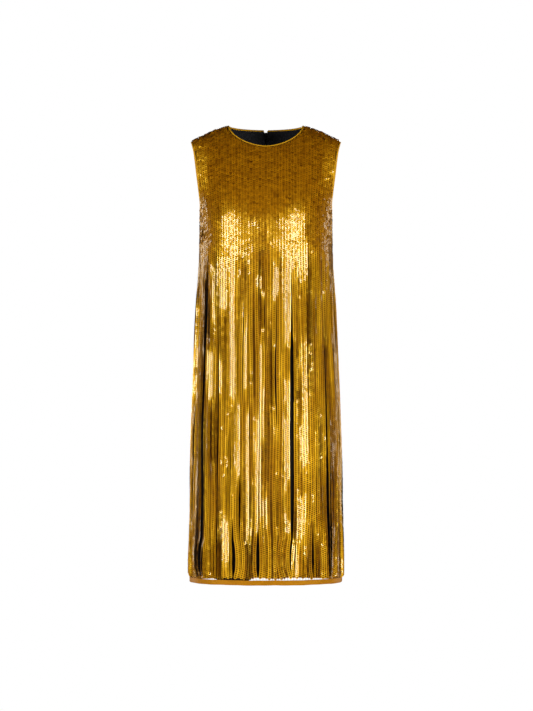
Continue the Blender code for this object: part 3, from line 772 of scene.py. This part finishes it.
def string_paths(side, slits):
    """Grids over (row, string) of the free strings: points, outward directions, turns and streak shares."""
    heights = YOKE_END - ROW * np.arange(FREE_ROWS + 1)
    fractions = (np.arange(STRINGS_A_SIDE) + 0.5) / STRINGS_A_SIDE
    push, sink = slit_moves(heights, fractions, slits, side)
    fall = clamped((YOKE_END - heights) / (YOKE_END - BAND_TOP))[:, None]
    loose = clamped(fall / LOOSE_SHARE) ** LOOSE_POWER
    caught = clamped((heights[:, None] - BAND_TOP) / CAUGHT_LENGTH)
    sway = (smooth_noise(SWAY) + smooth_noise(OWN_SWAY)) * loose
    bow = smooth_noise(BOW) * caught * (1 - caught)
    push = push + (sway + bow) * clamped(caught * CAUGHT_QUICKLY)
    turn = (smooth_noise(TURN) + smooth_noise(OWN_TURN)) * loose
    turn += smooth_noise(RIPPLE) * (1 - 0.5 * loose)
    depth = (clamped(smooth_noise(LAYERS) + 0.5) * LAYER_DEPTH - LAYER_LIFT) * loose
    depth -= np.where(np.arange(STRINGS_A_SIDE) % 2, ODD_LIFT, 0)[None, :]
    depth += sink * SINK_SHARE - YOKE_LIFT * clamped(1 - fall / LIFT_SHARE)
    angle = np.zeros(push.shape)
    for r, height in enumerate(heights):
        angles, run = level(height, side)
        angle[r] = np.interp(fractions * run[-1] + push[r], run, angles)
    tall = np.broadcast_to(heights[:, None], angle.shape)
    out = unit(normal(angle, tall) * [1, 1, 0])
    points = surface(angle, tall) - out * depth[..., None]
    azimuth = np.arctan2(out[..., 0], -side * out[..., 1])
    weight = np.zeros(turn.shape)
    if side > 0:
        turn, weight = turn_to_lights(points, azimuth, turn, loose)
    beside = clamped((np.abs(azimuth) - SIDE_START) / (QUARTER_TURN - SIDE_START))
    turn -= side * np.sign(azimuth) * SIDE_TURN * beside * loose
    return points, out, turn, weight


def turn_to_lights(points, azimuth, turn, loose):
    """Turns strings in a streak to face a light, and the others clear of it."""
    weight = streak_weight(points, STREAK_SPREAD)
    weight = weight * clamped(STREAK_WHOLE + smooth_noise(STREAK_BREAKS) * loose)
    turned = azimuth + turn
    off = np.abs(turned) - STREAK_AZIMUTH
    kept_off = np.sign(off) * np.maximum(np.abs(off), DODGE_LEAST + np.abs(off) * DODGE_SHARE)
    turn = turn + np.where(turned < 0, -1, 1) * (kept_off - off) * loose
    light = np.where(azimuth > STREAK_MIDDLE, STREAK_AZIMUTH, -STREAK_AZIMUTH)
    return turn * (1 - weight) + (light - azimuth) * weight, weight


def gather(grid, rows, columns):
    """Values of a grid at fractional rows and whole columns."""
    low = np.clip(rows.astype(int), 0, grid.shape[0] - 2)
    share = rows - low
    share = share.reshape(share.shape + (1,) * (grid.ndim - 2))
    return grid[low, columns] * (1 - share) + grid[low + 1, columns] * share


def jitter(directions, down, out, amount):
    """Small random tilts of outward directions."""
    across = np.cross(down, out)
    tilt = RANDOM.normal(0, 1, (len(directions), 2)) * amount
    return unit(directions + across * tilt[:, :1] + down * tilt[:, 1:])


def turned_about(down, out, yaw):
    """Outward directions turned about the string."""
    return out * np.cos(yaw)[:, None] - np.cross(down, out) * np.sin(yaw)[:, None]


def shingled(down, out):
    """Outward directions tipped as sequins lie on one another."""
    return unit(out * math.cos(SHINGLE_TILT) - down * math.sin(SHINGLE_TILT))


def random_tone(middle, amount, count):
    return clamped(middle + RANDOM.normal(0, amount, count))


def dress_strings(side, slits, phases):
    """The free strings on one side of the dress, their sequins, and the string that each sequin hangs on."""
    points, out, turn, weight = string_paths(side, slits)
    last = (YOKE_END - SEQUIN_END) / ROW
    places = [np.arange(phase, last, SEQUIN_PITCH / ROW) for phase in phases]
    rows = np.concatenate(places)
    strings = np.repeat(np.arange(len(places)), [len(own) for own in places])
    centres = gather(points, rows, strings)
    below = gather(points, np.minimum(rows + SLOPE_ROWS, len(points) - 1.001), strings)
    above = gather(points, np.maximum(rows - SLOPE_ROWS, 0), strings)
    down = unit(below - above)
    face = square_to(gather(out, rows, strings), down)
    turned = shingled(down, turned_about(down, face, gather(turn, rows, strings)))
    amount = STRING_JITTER * (1 - 0.5 * gather(weight, rows, strings))
    turned = jitter(turned, down, face, amount[:, None])
    tones = smooth_noise(TONES) * clamped(np.arange(len(points)) / BLEND_ROWS)[:, None]
    blend = clamped(rows / BLEND_ROWS)
    middle = YOKE_TONE + STRING_TONE * blend + gather(tones, rows, strings)
    tone = random_tone(middle, STRING_TONE_SPREAD, len(rows))
    sequins = (centres, square_to(down, turned), turned, tone, YOKE_PAINTED_SHADE + STRING_PAINTED_SHADE * blend)
    return points, out, sequins, strings


def add_threads(name, points, out):
    """The strings' threads: a three-sided line down each string, on to the hem band."""
    last = len(points) - 1
    rows = np.unique(np.append(np.arange(0, last, THREAD_ROWS), last))
    path = points[rows] - out[rows] * THREAD_DEPTH
    end = path[-1].copy()
    end[:, 2] = BAND_TOP + SEAM_GAP
    end -= out[-1] * THREAD_DEPTH
    path = np.concatenate([path, end[None]])
    facing = np.concatenate([out[rows], out[-1:]])
    along = np.stack([-facing[..., 1], facing[..., 0], np.zeros(facing.shape[:2])], axis=-1)
    corners = [path - along * THREAD_HALF, path + along * THREAD_HALF, path - facing * THREAD_HALF * 1.5]
    corners = np.stack(corners, axis=2)
    count, strings = corners.shape[:2]
    faces = []
    for s in range(strings):
        for r in range(count - 1):
            here, there = (r * strings + s) * 3, ((r + 1) * strings + s) * 3
            for k, m in ((0, 1), (1, 2), (2, 0)):
                faces.append((here + k, here + m, there + m, there + k))
        for first in (s * 3, ((count - 1) * strings + s) * 3):
            faces.append((first, first + 1, first + 2))
    return add_mesh(name, corners.reshape(-1, 3), faces, THREAD, 80)


def nearest(points, edge):
    """How far each point lies from a closed line."""
    best = np.full(len(points), np.inf)
    for place in edge:
        best = np.minimum(best, np.linalg.norm(points - place, axis=1))
    return best


NECK_EDGE = surface(*edge_loop(neck_half, EDGE_STEPS, 1)[:2])
ARMHOLE_EDGE = surface(*edge_loop(armhole_half, EDGE_STEPS, -1)[:2])


def yoke_places(side, phases):
    """Sequins on the yoke's strings, sewn down side by side: place, down, out and turn."""
    heights = np.arange(YOKE_END, -YOKE_STEP / 2, YOKE_STEP)
    pitch = level(YOKE_END, side)[1][-1] / STRINGS_A_SIDE
    places = (np.arange(-EXTRA_STRINGS, STRINGS_A_SIDE + EXTRA_STRINGS) + 0.5 - STRINGS_A_SIDE / 2) * pitch
    angle = np.full((len(heights), len(places)), np.nan)
    for r, height in enumerate(heights):
        angles, run = level(height, side)
        own = run[-1] / 2 + places
        on = (own > SHOULDER_CLEAR) & (own < run[-1] - SHOULDER_CLEAR)
        angle[r, on] = np.interp(own[on], run, angles)
    ripple = smooth_noise(RIPPLE, int(YOKE_RUN / SEQUIN_PITCH), len(places))
    made = []
    for c in range(len(places)):
        good = np.flatnonzero(~np.isnan(angle[:, c]))
        breaks = np.flatnonzero(np.diff(good) > 1)
        if len(breaks) and good[0] == 0:
            good = good[: breaks[0] + 1]
        if len(good) < LEAST_STEPS:
            continue
        path = surface(angle[good, c], heights[good])
        length = run_along(path)
        phase = (phases[np.clip(c - EXTRA_STRINGS, 0, STRINGS_A_SIDE - 1)] % 1) * ROW
        own = np.arange(SEQUIN_PITCH - phase, length[-1], SEQUIN_PITCH)
        a = np.interp(own, length, angle[good, c])
        h = np.interp(own, length, heights[good])
        here, face = surface(a, h), normal(a, h)
        along = np.gradient(path, axis=0)
        along = np.stack([np.interp(own, length, along[:, k]) for k in range(3)], axis=1)
        off = (np.abs(here[:, 0]) < NECK_HALF_WIDTH) & (h > neck_height(here[:, 0], side))
        off |= (h > ARMPIT) & (h < SHOULDER_TIP) & (np.abs(here[:, 0]) > armhole_reach(h, side))
        lift = YOKE_LIFT + (ODD_LIFT if c % 2 else 0)
        turn = ripple[(own / SEQUIN_PITCH).astype(int), c]
        made.append([values[~off] for values in (here + face * lift, -unit(along), face, turn)])
    return [np.concatenate(parts) for parts in zip(*made)]


def dress_yoke(side, phases):
    """Sequins on the front or back of the yoke, clear of its bindings and of the zip."""
    centres, down, out, turn = yoke_places(side, phases)
    clear = nearest(centres, NECK_EDGE) > EDGE_CLEAR
    for points in (centres, mirrored(centres)):
        clear &= nearest(points, ARMHOLE_EDGE) > EDGE_CLEAR
    if side < 0:
        clear &= np.abs(centres[:, 0]) > ZIP_CLEAR + splay(centres[:, 2])
    centres, down, out, turn = [values[clear] for values in (centres, down, out, turn)]
    across, height = np.abs(centres[:, 0]), centres[:, 2]
    lean = normal(np.full(len(out), side * QUARTER_TURN), height)[:, 2]
    near = clamped((LEAN_END - across) / LEAN_GROWS)
    out[:, 2] += (np.maximum(lean, out[:, 2]) - out[:, 2]) * near
    out = unit(out)
    weight = np.zeros(len(out))
    if side > 0:
        weight = streak_weight(centres) * clamped(RANDOM.normal(1.15, 0.2, len(centres)))
        azimuth = np.arctan2(out[:, 0], -out[:, 1])
        out[:, 2] *= 1 - weight
        out = unit(out)
        turn = turn * np.clip((RIPPLE_TOP - height) / RIPPLE_GROWS, RIPPLE_LEAST, 1) * (1 - weight)
        turn += (np.where(azimuth > 0, STREAK_AZIMUTH, -STREAK_AZIMUTH) - azimuth) * weight
        out = unit(turned_about(down, out, turn))
    face = shingled(down, out)
    rough = 1 + SHOULDER_ROUGH * clamped((height - SHOULDER_START) / SHOULDER_GROWS)
    rough += ARMHOLE_ROUGH * clamped((across - ARMHOLE_START) / ARMHOLE_GROWS)
    rough *= 1 - STREAK_STEADY * weight
    face = unit(face + (jitter(face, down, out, YOKE_JITTER) - face) * rough[:, None])
    tone = random_tone(YOKE_TONE, YOKE_TONE_SPREAD, len(centres))
    return centres, square_to(down, face), face, tone, np.full(len(centres), YOKE_PAINTED_SHADE)


# Cloth panels

def panel_edge(half, count, inwards, side):
    """One side's part of an edge, inset under its binding: angles and heights."""
    return [loop_side(v, side).copy() for v in edge_loop(half, count, inwards, PANEL_EDGE)[:2]]


def panel_top(side):
    """Angles and heights of a panel's top edge, inset from the bindings: shoulder, neckline, shoulder."""
    count = PANEL_COLUMNS - 2 * SHOULDER_COLUMNS
    angle, height = panel_edge(neck_half, count, 1, side)
    angle[0], angle[-1] = 0, side * HALF_TURN
    tip = edge_loop(armhole_half, count, -1, PANEL_EDGE)[1][0]
    shoulder = np.linspace(tip, height[0], SHOULDER_COLUMNS + 1)[:-1]
    none = np.zeros(SHOULDER_COLUMNS)
    angle = np.concatenate([none, angle, none + side * HALF_TURN])
    return angle, np.concatenate([shoulder, height, shoulder[::-1]])


def upper_patch(side):
    """Angles and heights over a panel from the yoke's end to its top edge, blended from its four edges."""
    top_angle, top_height = panel_top(side)
    angle, height = panel_edge(armhole_half, ARMHOLE_ROWS, -1, side)
    angle[0] = angle[-1] = 0
    seam = np.linspace(YOKE_END, height[-1], SEAM_ROWS + 1)[:-1]
    side_angle = np.concatenate([np.zeros(SEAM_ROWS), angle[::-1]])[:, None]
    side_height = np.concatenate([seam, height[::-1]])[:, None]
    side_height[-1] = top_height[0]
    u = np.linspace(0, 1, PANEL_COLUMNS + 1)[None, :]
    v = np.linspace(0, 1, len(side_angle))[:, None]
    late = v**4
    bottom_angle = even_angles(YOKE_END, u[0], side)[None, :]
    across = ((1 - late) * bottom_angle + late * top_angle[None, :]) / (side * HALF_TURN)
    angle = side_angle + (side * HALF_TURN - 2 * side_angle) * across
    bottom = (1 - v) * YOKE_END
    height = bottom + v * top_height[None, :] + (side_height - bottom - v * top_height[0]) * np.abs(1 - 2 * u)
    return angle, height


def slip_depth(height):
    """How far the slip hangs inside the outer surface: closely under the yoke, freely under the strings."""
    share = clamped((SLIP_HANG_START - height) / (SLIP_HANG_START - SLIP_HANG_FULL))
    return SLIP_DEPTH + (SLIP_HANG_DEPTH - SLIP_DEPTH) * ease(share)


# Place round the panel, top, width, depth
SLIP_FOLDS = (
    (0.08, -0.34, 0.030, 0.0016),
    (0.21, -0.42, 0.038, 0.0022),
    (0.33, -0.30, 0.026, 0.0014),
    (0.47, -0.50, 0.042, 0.0018),
    (0.58, -0.36, 0.030, 0.0024),
    (0.72, -0.45, 0.036, 0.0015),
    (0.86, -0.32, 0.028, 0.0020),
)


def slip_fold(fractions, height, side):
    """The slip's soft hanging folds: how much further in it hangs at each place."""
    depth = np.zeros(np.broadcast(fractions, height).shape)
    for place, top, width, amount in SLIP_FOLDS:
        centre = place if side > 0 else 1.02 - place
        grow = clamped((top - height) / SLIP_FOLD_LENGTH)
        depth = depth + amount * grow * np.exp(-(((fractions - centre) / width) ** 2))
    return depth


def add_slip(side):
    u = np.linspace(0, 1, PANEL_COLUMNS + 1)
    hem_angle = even_angles(SLIP_END, u, side)
    place = (surface(hem_angle, SLIP_END)[:, 0] - SLIP_DIP_MIDDLE) / SLIP_DIP_HALF
    dip = SLIP_BEHIND * clamped(1 - place**6) if side > 0 else 0
    wave = 0.0006 * np.sin(u * 37) + 0.0004 * np.sin(u * 91 + 1)
    angles, heights = [hem_angle], [SLIP_END - dip + wave]
    for tall in np.linspace(SLIP_END + 0.012, YOKE_END - 0.010, SLIP_ROWS):
        angles.append(even_angles(tall, u, side))
        heights.append(np.full_like(u, tall))
    angle, height = [np.vstack([low, high]) for low, high in zip((angles, heights), upper_patch(side))]
    depth = slip_depth(height) + slip_fold(u[None, :], height, side)
    outer, inner = inside(angle, height, depth), inside(angle, height, depth + SLIP_THICKNESS)
    return wall_panels("slip_cloth", outer, inner, side, SLIP_WITH_PAINTED_SHADE, LINING_WITH_PAINTED_LIGHT)


def add_yoke_ground(side):
    angle, height = upper_patch(side)
    outer, inner = [inside(angle, height, np.full_like(height, d)) for d in (GROUND_DEPTH, YOKE_THICKNESS)]
    return wall_panels("yoke_ground", outer, inner, side, GROUND)


def wall_panels(name, outer, inner, side, finish, lining=None):
    """The front panel, or the two back panels either side of the zip, as walls."""
    for points in (outer, inner):
        points[..., 1] -= side * SEAM_GAP / 2
    if side > 0:
        return [add_wall(name + "_front", outer, inner, finish, lining)]
    half = PANEL_COLUMNS // 2
    left = [clear_of_zip(points[:, : half + 1]) for points in (outer, inner)]
    right = [mirrored(clear_of_zip(mirrored(points[:, half:]))) for points in (outer, inner)]
    parts = (("left", left), ("right", right))
    return [add_wall(f"{name}_back_{part}", *walls, finish, lining) for part, walls in parts]


# Bindings and hem

def binding_sections(points, out, into):
    """Rounded sections of a binding that caps the edges of the yoke and the slip."""
    centre = points + into * BINDING_WIDTH / 2 - out * CLOTH_DEPTH / 2
    sections = []
    for turn in np.arange(BINDING_SIDES) * 2 * HALF_TURN / BINDING_SIDES:
        flat = np.sign(math.sin(turn)) * abs(math.sin(turn)) ** 0.7
        reach = math.cos(turn) * BINDING_WIDTH / 2
        sections.append(centre + into * reach + out * flat * BINDING_THICKNESS / 2)
    return np.stack(sections, axis=1)


def add_neck_binding():
    sections = binding_sections(*edge_loop(neck_half, NECK_STEPS, 1)[2])
    sections = np.roll(sections, -NECK_STEPS * 3 // 2, axis=0)
    sections = np.concatenate([sections, sections[:1]])
    half = NECK_STEPS // 2 + 1
    sections[:half] = clear_of_zip(sections[:half])
    sections[-half:] = mirrored(clear_of_zip(mirrored(sections[-half:])))
    return add_sweep("neck_satin", sections, False, BINDING_WITH_PAINTED_HIGHLIGHT)


def add_armhole_bindings():
    left = binding_sections(*edge_loop(armhole_half, ARMHOLE_STEPS, -1)[2])
    parts = (("left", left), ("right", mirrored(left)))
    return [add_sweep(f"armhole_satin_{part}", sections, True, BINDING_WITH_PAINTED_HIGHLIGHT) for part, sections in parts]


def add_hem_band():
    """The folded satin ring, with a soft crease along its middle."""
    front = even_angles(HEM, np.linspace(0, 1, HEM_STEPS + 1)[:-1], 1)
    angle = np.concatenate([front, front + HALF_TURN])
    profile = (
        (0.50, 1.00), (0.22, 0.985), (0.06, 0.93), (0.0, 0.82), (0.02, 0.66), (0.08, 0.52), (0.03, 0.38),
        (0.0, 0.20), (0.07, 0.07), (0.26, 0.01), (0.50, 0.0), (0.76, 0.01), (0.94, 0.08), (1.0, 0.22),
        (1.0, 0.50), (1.0, 0.80), (0.93, 0.93), (0.76, 0.99),
    )
    tall = np.full_like(angle, HEM)
    out = unit(normal(angle, tall) * [1, 1, 0])
    edge = surface(angle, tall)
    turns = np.arange(len(angle)) / len(angle) * 2 * HALF_TURN
    wave = 0.0003 * np.sin(turns * 9 + 1) + 0.0002 * np.sin(turns * 23)
    sections = []
    for depth, height in profile:
        section = edge - out * (BAND_DEPTH + depth * BAND_THICKNESS + wave * 0.6)[:, None]
        section[:, 2] += height * BAND_HEIGHT + wave * 0.7
        sections.append(section)
    return add_sweep("hem_satin", np.stack(sections, axis=1), True, SATIN)


# Zip

def add_zip_teeth():
    """The closed coil: one small bar for each tooth, left and right in turn."""
    height = np.arange(ZIP_TOP - 0.0025, ZIP_END, -TOOTH_PITCH)
    middle = np.full_like(height, -QUARTER_TURN)
    out = normal(middle, height) * [0, 1, 1]
    depth = slip_depth(height) + SLIP_THICKNESS + SEAM_GAP + CHAIN_THICKNESS / 2
    centre = inside(middle, height, depth) * [0, 1, 1]
    down = unit(np.gradient(centre, axis=0))
    across = np.cross(down, out)
    vertices, faces = [], []
    for k, (c, d, o, a) in enumerate(zip(centre, down, out, across)):
        reach = a * CHAIN_WIDTH / 2 * (1 if k % 2 else -1)
        for z in (-1, 1):
            for x, y in ((-0.3, -1), (1, -1), (1, 1), (-0.3, 1)):
                vertices.append(c + reach * x + d * y * TOOTH_HALF + o * z * CHAIN_THICKNESS / 2)
        for quad in ((0, 1, 2, 3), (7, 6, 5, 4), (0, 4, 5, 1), (1, 5, 6, 2), (2, 6, 7, 3), (3, 7, 4, 0)):
            faces.append(tuple(k * 8 + q for q in quad))
    return add_mesh("zip_teeth", vertices, faces, ZIP, 30)


# Assembly

def fit(piece, slot, *nodes):
    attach(piece, "dress")
    if nodes:
        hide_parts(*nodes)


def fit_sequins(name, sequins, chosen, *nodes):
    fit(sequin_mesh(name, *[values[chosen] for values in sequins]), "sequins", *nodes)


def build_side(side, slits):
    """The sequins, threads, yoke ground and slip of the front or the back."""
    face = "front" if side > 0 else "back"
    phases = (np.arange(STRINGS_A_SIDE) % 2) * 0.5 + RANDOM.uniform(0, 0.12, STRINGS_A_SIDE)
    yoke = dress_yoke(side, phases)
    points, out, sequins, strings = dress_strings(side, slits, phases)
    fit(add_threads(f"threads_{face}", points, out), "sequins")
    left = yoke[0][:, 0] > 0
    panels = [("front", left | ~left)] if side > 0 else [("back_left", left), ("back_right", ~left)]
    for (panel, chosen), ground, slip in zip(panels, add_yoke_ground(side), add_slip(side)):
        fit_sequins(f"yoke_sequins_{panel}", yoke, chosen)
        fit(ground, "sequins", f"yoke_{panel}")
        fit(slip, "lining", f"slip_{panel}")
    left = strings < STRINGS_A_SIDE // 2
    for part, chosen in (("left", left), ("right", ~left)):
        solid = "fringe_front" if side > 0 else f"fringe_back_{part}"
        fit_sequins(f"strings_{face}_{part}", sequins, chosen, solid)


def build_dress():
    build_side(1, FRONT_SLITS)
    build_side(-1, BACK_SLITS)
    fit(add_neck_binding(), "satin", "neck_binding")
    for part, piece in zip(("left", "right"), add_armhole_bindings()):
        fit(piece, "satin", f"armhole_binding_{part}")
    fit(add_hem_band(), "satin", "hem_band")
    fit(add_zip_teeth(), "zip", "zip_chain")
    for name in ("zip_slider", "zip_pull"):
        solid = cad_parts[name]
        solid.data.materials.clear()
        solid.data.materials.append(ZIP)


# Studio

def add_softbox(name, azimuth, width, radiance):
    """An upright light that faces the dress from an azimuth, 0 at the camera's side."""
    lamp = bpy.data.lights.new(name, "AREA")
    lamp.shape = "RECTANGLE"
    lamp.size, lamp.size_y = width, SOFTBOX_HEIGHT
    lamp.energy = radiance * HALF_TURN * width * SOFTBOX_HEIGHT
    box = add_object(name, lamp)
    turn = math.radians(azimuth)
    box.location = (SOFTBOX_DISTANCE * math.sin(turn), -SOFTBOX_DISTANCE * math.cos(turn), SOFTBOX_MIDDLE)
    box.rotation_euler = (QUARTER_TURN, 0, turn)


def add_world():
    """A white room for the camera, and a dim one with a band of light at the front for all else."""
    world = bpy.data.worlds.new("studio")
    bpy.context.scene.world = world
    world.use_nodes = True
    world.node_tree.nodes.clear()
    place = node(world, "ShaderNodeTexCoord")
    split = node(world, "ShaderNodeSeparateXYZ")
    link(world, place.outputs["Generated"], split.inputs["Vector"])
    both = node(world, "ShaderNodeVectorMath", operation="MULTIPLY")
    for slot, (axis, stops) in enumerate((("Y", ROOM_ROUND), ("Z", ROOM_UP))):
        share = mapped(world, split.outputs[axis], (-1, 1), (0, 1))
        link(world, ramp(world, share, stops), both.inputs[slot])
    room = node(world, "ShaderNodeBackground")
    link(world, both.outputs["Vector"], room.inputs["Color"])
    white = node(world, "ShaderNodeBackground", Color=(1, 1, 1, 1), Strength=BACKDROP)
    mix = node(world, "ShaderNodeMixShader")
    link(world, node(world, "ShaderNodeLightPath").outputs["Is Camera Ray"], mix.inputs["Fac"])
    link(world, room.outputs["Background"], mix.inputs[1])
    link(world, white.outputs["Background"], mix.inputs[2])
    link(world, mix.outputs["Shader"], node(world, "ShaderNodeOutputWorld").inputs["Surface"])


def add_floor():
    work = bmesh.new()
    bmesh.ops.create_circle(work, cap_ends=True, segments=96, radius=FLOOR_RADIUS)
    mesh = bpy.data.meshes.new("floor")
    work.to_mesh(mesh)
    work.free()
    finish, shader = new_material("pale_floor", (0.90, 0.90, 0.90), 0.6)
    noise = node(finish, "ShaderNodeTexNoise", Scale=6.0, Detail=3.0)
    link(finish, ramp(finish, noise.outputs["Fac"], ((0.3, 0.88), (0.7, 0.92))), shader.inputs["Base Color"])
    mesh.materials.append(finish)
    floor = add_object("floor", mesh)
    floor.location = (0, 0, FLOOR)


def add_camera():
    lens = bpy.data.cameras.new("camera")
    lens.sensor_fit = "HORIZONTAL"
    lens.sensor_width = SENSOR
    lens.lens = SENSOR * CAMERA_DISTANCE / (PHOTO_WIDTH * PIXEL)
    camera = add_object("camera", lens)
    camera.location = ((PHOTO_WIDTH / 2 - MIDDLE_PIXEL) * PIXEL, -CAMERA_DISTANCE, CAMERA_HEIGHT)
    camera.rotation_euler = (QUARTER_TURN, 0, 0)
    bpy.context.scene.camera = camera


def build_studio():
    view = bpy.context.scene.view_settings
    view.view_transform = "Standard"
    view.look = "None"
    view.exposure = 0
    add_world()
    add_floor()
    add_camera()
    for box in SOFTBOXES:
        add_softbox(*box)


build_dress()
build_studio()
